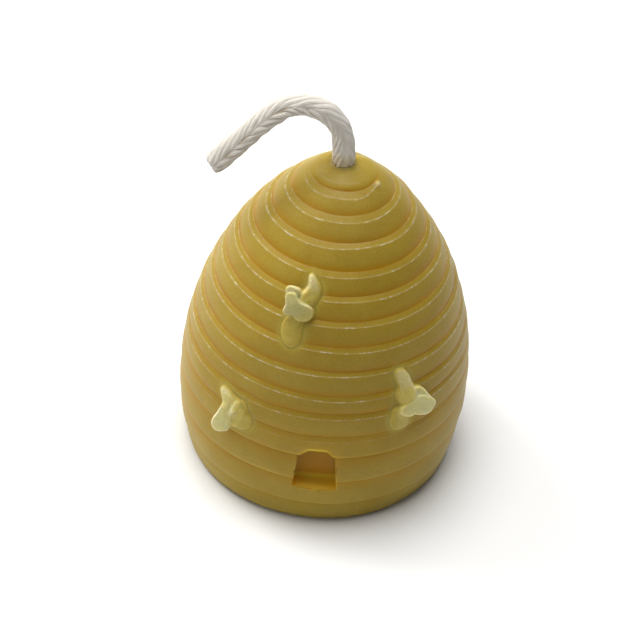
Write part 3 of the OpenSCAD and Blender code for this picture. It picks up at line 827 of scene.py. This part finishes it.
def make_bee(key, seed):
    """One bee as a solid with rounded edges: pillow-shaped body parts and flat wing slabs over them,
    all melted a little into each other and into the coils underneath."""
    B = BEES[key]
    step = 0.115
    allp = np.vstack(B["polys"])
    U = np.arange(allp[:, 0].min() - 2.0, allp[:, 0].max() + 2.0, step)
    V = np.arange(allp[:, 1].min() - 2.0, allp[:, 1].max() + 2.0, step)
    H = np.arange(-3.3, 3.6, step)
    uu, vv = np.meshgrid(U, V, indexing="ij")
    h = H[None, None, :]
    f = None
    slab2 = None
    level = None
    body2 = np.full(uu.shape, 9.0)
    edge_out = np.zeros(uu.shape)
    near2 = np.full(uu.shape, 9.0)
    slide = B["slide"]
    slab_d = np.full(uu.shape, 9.0)
    for (kind, size, _), poly_ in zip(B["parts"], B["polys"]):
        if kind == "slab":
            drop = (3.1 if size[0] > 1 else 2.25) - (size[0] + size[1])
            slab_d = np.minimum(slab_d, poly2(uu - drop * slide[0], vv - drop * slide[1], poly_))
    for (kind, size, _), poly_ in zip(B["parts"], B["polys"]):
        if kind == "body":
            d_ = poly2(uu, vv, poly_)
            near2 = np.minimum(near2, d_)
            out_ = uu * B["outer"][0] + vv * B["outer"][1]
            e0, e1 = (poly_ @ np.array(B["outer"])).min(), (poly_ @ np.array(B["outer"])).max()
            side = (out_ - e0) / (e1 - e0)             # 0 on the inner side of a part, 1 on the outer
            x = np.clip(-d_ / 1.0, 0, 1)
            top_ = size * (0.85 * np.sqrt(1 - (1 - x) ** 2) + 0.15 * np.clip(-d_ / 2.0, 0, 1)) * (0.45 + 0.55 * smooth(0.0, 0.7, side))
            top_ = top_ * (1 + SWELL * (1 - smooth(-0.6, 2.4, slab_d)))      # it swells towards the wings
            top_ = np.where(d_ > 0, -2.2 * d_, top_)
            body2 = np.minimum(body2, d_)
            edge_out = np.maximum(edge_out, np.exp(-((d_ + 0.25) / 0.3) ** 2) * smooth(0.55, 0.85, side))
            g = (h - top_[..., None]) * 0.72
            k = 1.5 if key == "left" else 0.6
        else:
            lo_, thick = size
            was = 3.1 if lo_ > 1 else 2.25
            q0, q1 = (poly_ @ np.array(B["light"])).min(), (poly_ @ np.array(B["light"])).max()
            drop = was - (lo_ + thick)
            lit = (uu - drop * slide[0]) * B["light"][0] + (vv - drop * slide[1]) * B["light"][1]
            tilt = smooth(-0.1, 0.72, (lit - q0) / (q1 - q0))
            sink = (0.75 * lo_ + 0.1) * (1 - tilt)
            drop = drop + sink
            d_ = poly2(uu - drop * slide[0], vv - drop * slide[1], poly_)
            near2 = np.minimum(near2, d_)
            lo_ = (lo_ - sink)[..., None]
            skirt = 0.42 - 0.32 * (1 - tilt)[..., None]
            dome = 0.10 * np.clip(-d_ / 1.3, 0, 1) + 0.05 * np.sin(1.7 * uu + 1.1 * vv) + 0.05 * tilt * np.exp(-((d_ + 0.28) / 0.16) ** 2)
            half = thick / 2
            a2, b2 = d_[..., None] + 0.25, np.abs(h - (lo_ + half) - dome[..., None] * 0.5) - half - dome[..., None] * 0.5 + 0.25
            g = np.minimum(np.maximum(a2, b2), 0) + np.sqrt(np.maximum(a2, 0) ** 2 + np.maximum(b2, 0) ** 2) - 0.25
            # a foot under the slab ties it down to the body
            ft = d_[..., None] + skirt
            foot_ = np.maximum(ft, h - lo_ - 0.4)
            g = smin(g, foot_, 0.40)
            slab2 = d_ if slab2 is None else np.minimum(slab2, d_)
            k = 0.6 if was < 3 else (0.9 if key == "left" else 0.3)
            level = tilt if level is None else np.where(d_ < 0.15, tilt, level)
        f = g + 0 * h if f is None else smin(f, g, k)
    u3, v3, h3 = np.meshgrid(U, V, H, indexing="ij")
    f = f + ripple(u3, v3, h3, seed, 0.013)
    s_g, az_g = B["s0"] + vv, B["az0"] + uu / B["r0"]
    o_s, _, _ = offset(s_g, az_g)
    ground = h3 - (o_s[..., None] - 0.06)
    F = smin(f, ground, 0.75)
    F = np.maximum(F, -(ground + 2.1))
    F = np.maximum(F, f - 0.9)
    F = np.maximum(F, (near2 - 1.3)[..., None])
    pts, quads_ = surface_nets(F, np.array([U[0], V[0], H[0]]), step)
    hh = pts[:, 2]
    P = at(B["s0"] + pts[:, 1], B["az0"] + pts[:, 0] / B["r0"], hh)
    o = new_object("bee_" + key + "_wax", P, quads_)
    b = bmesh.new()
    b.from_mesh(o.data)
    bmesh.ops.recalc_face_normals(b, faces=b.faces)
    for _ in range(2):
        bmesh.ops.smooth_vert(b, verts=b.verts, factor=0.4, use_axis_x=True, use_axis_y=True, use_axis_z=True)
    b.to_mesh(o.data)
    b.free()
    o_v, seam_v, crest_highlight_v = offset(B["s0"] + pts[:, 1], B["az0"] + pts[:, 0] / B["r0"])
    lift = hh - o_v
    near = np.exp(-(np.clip(lift, 0, 9) / 0.3) ** 2)
    wd = poly_at(slab2, U, V, pts)
    g0 = poly_at(np.gradient(slab2, step, axis=0), U, V, pts)
    g1 = poly_at(np.gradient(slab2, step, axis=1), U, V, pts)
    L = np.array(B["light"]) / np.linalg.norm(B["light"])
    # painted highlight: a pale rim along the wing edges that face the light, and along the outer edges of the body
    # parts
    faces_light = 0.12 + 0.88 * smooth(0.1, 0.7, g0 * L[0] + g1 * L[1])
    rim_highlight = np.exp(-((wd + 0.18) / 0.20) ** 2) * smooth(0.8, 1.3, lift) * faces_light
    # painted seam shade carried onto the bee's foot
    attribute(o, "seam", seam_v * near * 0.5)
    # painted highlight from the coils carried onto the bee's foot
    attribute(o, "crest_highlight", crest_highlight_v * near)
    lev = poly_at(level, U, V, pts)
    eo = poly_at(edge_out, U, V, pts)
    on_slab = (1 - smooth(-0.1, 0.35, wd)) * smooth(0.4, 1.0, lift)
    # paler bee skin, with painted light lifting its shaded underside
    attribute(o, "bee", np.maximum(0.5, smooth(0.02, 0.75, lift)))
    up_side = smooth(-2.2, 0.6, pts[:, 1]) if key == "left" else smooth(-0.6, 1.4, pts[:, 1])
    spread = {"left": 0.8, "right": 0.55, "top": 0.35}[key] * (1 - smooth(0.2, 3.0 if key == "left" else 2.2, wd)) * up_side * smooth(0.3, 0.8, lift)
    attribute(o, "pale", np.maximum(on_slab * (0.42 + 0.58 * smooth(0.05, 0.6, lev)), np.maximum(spread, 0.22 * smooth(0.2, 0.7, lift))))
    attribute(o, "rim_highlight", np.maximum(rim_highlight * (0.35 if key == "top" else 1.0), (0.3 if key == "top" else 0.5) * eo * smooth(0.4, 0.9, lift) * (1 - on_slab)))
    attribute(o, "sill", np.zeros(len(hh)))
    # painted light where the bee meets the wax
    attribute(o, "ring", 0.75 * (1 - smooth(0.05, 0.4, lift)) * (1 - on_slab))
    attribute(o, "lintel", np.zeros(len(hh)))
    attribute(o, "niche_shading", np.zeros(len(hh)))
    attribute(o, "edge", np.zeros(len(hh)))
    # frost with painted sheen on the upper part of the heads, fading towards the right
    head = smooth(1.6, 4.6, pts[:, 1] if key != "left" else pts[:, 1] + 0.4) * smooth(0.15, 0.6, lift)
    attribute(o, "frost_and_sheen", (0.62 if key == "right" else 0.9) * head * (1 - 0.6 * smooth(-0.5, 2.2, pts[:, 0] - (0.25 if key == "top" else 0.6))))
    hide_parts("bee_" + key)
    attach(o, "root")
    return o


def poly_at(F2, U, V, pts):
    """Sample a grid over (u, v) at points, bilinearly."""
    x = np.clip((pts[:, 0] - U[0]) / (U[1] - U[0]), 0, len(U) - 1.001)
    y = np.clip((pts[:, 1] - V[0]) / (V[1] - V[0]), 0, len(V) - 1.001)
    i_, j_ = x.astype(int), y.astype(int)
    fx, fy = x - i_, y - j_
    return (F2[i_, j_] * (1 - fx) * (1 - fy) + F2[i_ + 1, j_] * fx * (1 - fy)
            + F2[i_, j_ + 1] * (1 - fx) * fy + F2[i_ + 1, j_ + 1] * fx * fy)


bees = [make_bee("top", 3), make_bee("left", 4), make_bee("right", 5)]


# ------------------------------------------------------------------ materials
def nodes_of(name):
    mat = bpy.data.materials.new(name)
    mat.use_nodes = True
    nt = mat.node_tree
    for n in list(nt.nodes):
        nt.nodes.remove(n)
    out = nt.nodes.new("ShaderNodeOutputMaterial")
    bsdf = nt.nodes.new("ShaderNodeBsdfPrincipled")
    nt.links.new(bsdf.outputs[0], out.inputs[0])
    return mat, nt, bsdf


def n_attr(nt, name):
    n = nt.nodes.new("ShaderNodeAttribute")
    n.attribute_type = "GEOMETRY"
    n.attribute_name = name
    return n.outputs["Fac"]


def n_coord(nt, scale=1000.0, stretch=(1, 1, 1)):
    tc = nt.nodes.new("ShaderNodeTexCoord")
    mp = nt.nodes.new("ShaderNodeMapping")
    mp.inputs["Scale"].default_value = (scale * stretch[0], scale * stretch[1], scale * stretch[2])
    nt.links.new(tc.outputs["Object"], mp.inputs["Vector"])
    return mp.outputs[0]


def n_noise(nt, vec, scale, detail=3.0, rough=0.55, dist=0.0):
    n = nt.nodes.new("ShaderNodeTexNoise")
    n.inputs["Scale"].default_value = scale
    n.inputs["Detail"].default_value = detail
    n.inputs["Roughness"].default_value = rough
    n.inputs["Distortion"].default_value = dist
    nt.links.new(vec, n.inputs["Vector"])
    return n.outputs["Fac"]


def n_math(nt, op, a, b=None, c=None, clamp=False):
    n = nt.nodes.new("ShaderNodeMath")
    n.operation = op
    n.use_clamp = clamp
    for k, x in enumerate((a, b, c)):
        if x is None:
            continue
        if isinstance(x, (int, float)):
            n.inputs[k].default_value = x
        else:
            nt.links.new(x, n.inputs[k])
    return n.outputs[0]


def n_range(nt, x, a, b, lo=0.0, hi=1.0, kind="SMOOTHSTEP"):
    n = nt.nodes.new("ShaderNodeMapRange")
    n.interpolation_type = kind
    for k, v in (("From Min", a), ("From Max", b), ("To Min", lo), ("To Max", hi)):
        n.inputs[k].default_value = v
    nt.links.new(x, n.inputs["Value"])
    return n.outputs["Result"]


def n_mix(nt, fac, a, b, blend="MIX"):
    n = nt.nodes.new("ShaderNodeMix")
    n.data_type = "RGBA"
    n.blend_type = blend
    n.clamp_factor = True
    for sock, x in ((n.inputs["Factor"], fac), (n.inputs[6], a), (n.inputs[7], b)):
        if isinstance(x, (int, float)):
            sock.default_value = x
        elif isinstance(x, (tuple, list)):
            sock.default_value = (*x, 1.0)
        else:
            nt.links.new(x, sock)
    return n.outputs[2]


def n_bump(nt, height, dist, strength=1.0, normal=None):
    n = nt.nodes.new("ShaderNodeBump")
    n.inputs["Strength"].default_value = strength
    n.inputs["Distance"].default_value = dist
    nt.links.new(height, n.inputs["Height"])
    if normal is not None:
        nt.links.new(normal, n.inputs["Normal"])
    return n.outputs[0]


def lin(r, g, b):
    return tuple(((c / 255 + 0.055) / 1.055) ** 2.4 if c > 10 else c / 255 / 12.92 for c in (r, g, b))


def wax_material(name, sss, reach, wing=(lin(198, 192, 136), lin(186, 179, 116))):
    mat, nt, bs = nodes_of(name)
    vec = n_coord(nt)
    seam, crest_highlight, pale, rim_highlight, frost_and_sheen, niche_shading, sill, bee = (n_attr(nt, k) for k in ("seam", "crest_highlight", "pale", "rim_highlight", "frost_and_sheen", "niche_shading", "sill", "bee"))
    cloud = n_noise(nt, vec, 0.13, 3, 0.5, 0.3)
    grain = n_noise(nt, vec, 1.9, 5, 0.65)
    fine = n_noise(nt, vec, 3.4, 3, 0.6)
    col = n_mix(nt, n_range(nt, cloud, 0.3, 0.7), lin(158, 133, 40), lin(166, 142, 50))
    col = n_mix(nt, n_range(nt, grain, 0.35, 0.75, 0, 0.22), col, lin(184, 164, 84))
    col = n_mix(nt, n_range(nt, fine, 0.30, 0.70, 0, 0.26), col, lin(124, 98, 20))
    # painted shade: deeper, darker orange along the seams
    col = n_mix(nt, n_math(nt, "MULTIPLY", seam, 0.85), col, lin(168, 126, 9))
    # painted shade in the doorway: a deep orange back wall that shifts a little with height, and painted light on the
    # sill
    niche_light_and_shade = n_mix(nt, n_attr(nt, "lintel"), lin(167, 115, 5), lin(160, 122, 5))
    niche_light_and_shade = n_mix(nt, sill, niche_light_and_shade, lin(218, 186, 50))
    col = n_mix(nt, niche_shading, col, niche_light_and_shade)
    # painted shade along the rim of the doorway
    col = n_mix(nt, n_math(nt, "MULTIPLY", n_attr(nt, "edge"), 0.85), col, lin(96, 70, 10))
    # a broken line of painted highlight along the raised upper shoulder of each coil
    broken = n_range(nt, n_noise(nt, vec, 0.55, 6, 0.8), 0.47, 0.66)
    crest_highlight_paint = n_math(nt, "MULTIPLY", crest_highlight, n_math(nt, "MULTIPLY_ADD", broken, 0.50, 0.10))
    col = n_mix(nt, crest_highlight_paint, col, lin(240, 236, 222))
    # the bees' paler skin, with painted light that lifts the shade at their feet and undersides
    skin_lightened = n_mix(nt, n_range(nt, fine, 0.35, 0.7), lin(197, 180, 84), lin(185, 163, 67))
    col = n_mix(nt, n_math(nt, "MULTIPLY", bee, 0.85), col, skin_lightened)
    # painted light along the line where the bees meet the wax
    col = n_mix(nt, n_math(nt, "MULTIPLY", n_attr(nt, "ring"), 0.24), col, lin(226, 194, 92))
    pale_col = n_mix(nt, n_range(nt, fine, 0.35, 0.7), *wing)
    col = n_mix(nt, pale, col, pale_col)
    # frost with painted sheen, streaked by scratches
    scratch = n_range(nt, n_noise(nt, vec, 3.2, 4, 0.7), 0.42, 0.62)
    col = n_mix(nt, n_math(nt, "MULTIPLY", frost_and_sheen, n_math(nt, "MULTIPLY_ADD", scratch, 0.42, 0.26)), col, lin(234, 230, 196))
    # painted highlight along the bees' lit edges
    col = n_mix(nt, n_math(nt, "MULTIPLY", rim_highlight, 0.68), col, lin(244, 241, 216))
    # a few dark specks of propolis
    vor = nt.nodes.new("ShaderNodeTexVoronoi")
    vor.inputs["Scale"].default_value = 0.085
    nt.links.new(vec, vor.inputs["Vector"])
    speck = n_range(nt, vor.outputs["Distance"], 0.024, 0.014)
    col = n_mix(nt, n_math(nt, "MULTIPLY", speck, 0.6), col, lin(110, 72, 14))
    nt.links.new(col, bs.inputs["Base Color"])
    rough = n_math(nt, "MULTIPLY_ADD", grain, 0.16, 0.34)
    rough = n_math(nt, "SUBTRACT", rough, n_math(nt, "MULTIPLY", crest_highlight_paint, 0.2))
    nt.links.new(rough, bs.inputs["Roughness"])
    h = n_math(nt, "ADD", n_math(nt, "MULTIPLY", grain, 0.7), n_math(nt, "MULTIPLY", fine, 0.3))
    nrm1 = n_bump(nt, h, 0.00007, 0.7)
    rag = n_math(nt, "ADD", crest_highlight_paint, n_math(nt, "MULTIPLY", frost_and_sheen, scratch))
    nrm2 = n_bump(nt, rag, 0.00012, 0.8, nrm1)
    nt.links.new(nrm2, bs.inputs["Normal"])
    bs.inputs["IOR"].default_value = 1.44
    bs.inputs["Subsurface Weight"].default_value = sss
    bs.inputs["Subsurface Radius"].default_value = (1.3, 0.95, 0.25)
    bs.inputs["Specular IOR Level"].default_value = 0.2
    bs.inputs["Subsurface Scale"].default_value = reach
    return mat


def cotton_material():
    mat, nt, bs = nodes_of("wick_cotton")
    vec = n_coord(nt)
    along, crevice_shade, fibre = (n_attr(nt, k) for k in ("along", "crevice_shade", "fibre"))
    comb = nt.nodes.new("ShaderNodeCombineXYZ")
    nt.links.new(n_math(nt, "MULTIPLY", along, 0.30), comb.inputs[0])
    nt.links.new(n_math(nt, "MULTIPLY", fibre, 1.1), comb.inputs[1])
    streak = n_noise(nt, comb.outputs[0], 1.0, 5, 0.62)
    fuzz = n_noise(nt, vec, 7.0, 5, 0.7)
    col = n_mix(nt, n_range(nt, streak, 0.3, 0.7), lin(198, 190, 178), lin(228, 223, 214))
    # painted shade in the crevices of the plait
    col = n_mix(nt, n_math(nt, "MULTIPLY", crevice_shade, 0.72), col, lin(176, 146, 100))
    # soaked with wax where it leaves the crown
    sep = nt.nodes.new("ShaderNodeSeparateXYZ")
    nt.links.new(vec, sep.inputs[0])
    soak = n_range(nt, n_math(nt, "ADD", sep.outputs[2], n_math(nt, "MULTIPLY", streak, 3.0)), 76.5, 72.4)
    r2 = n_math(nt, "ADD", n_math(nt, "MULTIPLY", sep.outputs[0], sep.outputs[0]),
                n_math(nt, "MULTIPLY", sep.outputs[1], sep.outputs[1]))
    near = n_range(nt, r2, 14.0, 8.0)
    soak = n_math(nt, "MULTIPLY", soak, near)
    col = n_mix(nt, n_math(nt, "MULTIPLY", soak, 0.6), col, lin(205, 182, 120))
    nt.links.new(col, bs.inputs["Base Color"])
    nt.links.new(n_math(nt, "MULTIPLY_ADD", soak, -0.35, 0.9), bs.inputs["Roughness"])
    h = n_math(nt, "ADD", n_math(nt, "MULTIPLY", streak, 0.8), n_math(nt, "MULTIPLY", fuzz, 0.25))
    nt.links.new(n_bump(nt, h, 0.00016, 0.9), bs.inputs["Normal"])
    bs.inputs["Sheen Weight"].default_value = 0.3
    bs.inputs["Sheen Roughness"].default_value = 0.5
    bs.inputs["Subsurface Weight"].default_value = 0.25
    bs.inputs["Subsurface Radius"].default_value = (1.0, 0.9, 0.8)
    bs.inputs["Subsurface Scale"].default_value = 0.0005
    return mat


body.data.materials.clear()
body.data.materials.append(wax_material("beeswax", 1.0, 0.0030))
# the wing colour differs per bee: painted shade on the top bee's wings, painted light on the right bee's
thin_wax = wax_material("beeswax_thin", 1.0, 0.0012)
thin_wax_top_shaded = wax_material("beeswax_thin_top", 1.0, 0.0012, (lin(184, 177, 122), lin(170, 162, 102)))
thin_wax_right_lit = wax_material("beeswax_thin_right", 1.0, 0.0012, (lin(207, 202, 147), lin(197, 191, 129)))
for o, m_ in zip(bees, (thin_wax_top_shaded, thin_wax, thin_wax_right_lit)):
    o.data.materials.append(m_)
cotton = cotton_material()
for o in (wick_tail, wick_core):
    o.data.materials.append(cotton)

# ------------------------------------------------------------------ floor and light
WORLD_LO, WORLD_HI = 0.07, 0.62
fl = 1.6
floor = new_object("floor", [(-fl * 1000, -fl * 1000, 0), (fl * 1000, -fl * 1000, 0), (fl * 1000, fl * 1000, 0), (-fl * 1000, fl * 1000, 0)], [(0, 1, 2, 3)], False)
fmat, nt, bs = nodes_of("floor")
fv = n_coord(nt)
fcol = n_mix(nt, n_noise(nt, fv, 0.02, 2, 0.5), lin(236, 236, 235), lin(240, 240, 239))
nt.links.new(fcol, bs.inputs["Base Color"])
bs.inputs["Roughness"].default_value = 0.85
bs.inputs["Specular IOR Level"].default_value = 0.2
floor.data.materials.append(fmat)

world = bpy.data.worlds.new("studio")
bpy.context.scene.world = world
world.use_nodes = True
wt = world.node_tree
bg = wt.nodes["Background"]
bg.inputs[0].default_value = (1.0, 1.0, 1.0, 1.0)
tc = wt.nodes.new("ShaderNodeTexCoord")
sep = wt.nodes.new("ShaderNodeSeparateXYZ")
wt.links.new(tc.outputs["Generated"], sep.inputs[0])
# a soft studio: bright behind and to the left, dimmer towards the front and right
side = n_math(wt, "ADD", n_math(wt, "MULTIPLY", sep.outputs[0], -0.68), n_math(wt, "MULTIPLY", sep.outputs[1], 0.36))
wt.links.new(n_math(wt, "MULTIPLY_ADD", n_range(wt, side, -0.6, 0.6), WORLD_HI - WORLD_LO, WORLD_LO), bg.inputs[1])


def area(name, loc, target, size, power, color=(1, 1, 1)):
    ld = bpy.data.lights.new(name, "AREA")
    ld.shape = "DISK"
    ld.size = size
    ld.energy = power
    ld.color = color
    o = bpy.data.objects.new(name, ld)
    bpy.context.scene.collection.objects.link(o)
    o.location = loc
    v = Vector(target) - Vector(loc)
    o.rotation_euler = v.to_track_quat("-Z", "Y").to_euler()
    return o


area("key", (-0.42, 0.22, 0.52), (0, 0, 0.04), 0.30, 2.05, (1.0, 0.99, 0.97))
area("top", (-0.04, 0.06, 0.8), (0, 0, 0.03), 0.60, 6.4)

bpy.context.scene.view_settings.view_transform = "Standard"
bpy.context.scene.view_settings.look = "None"
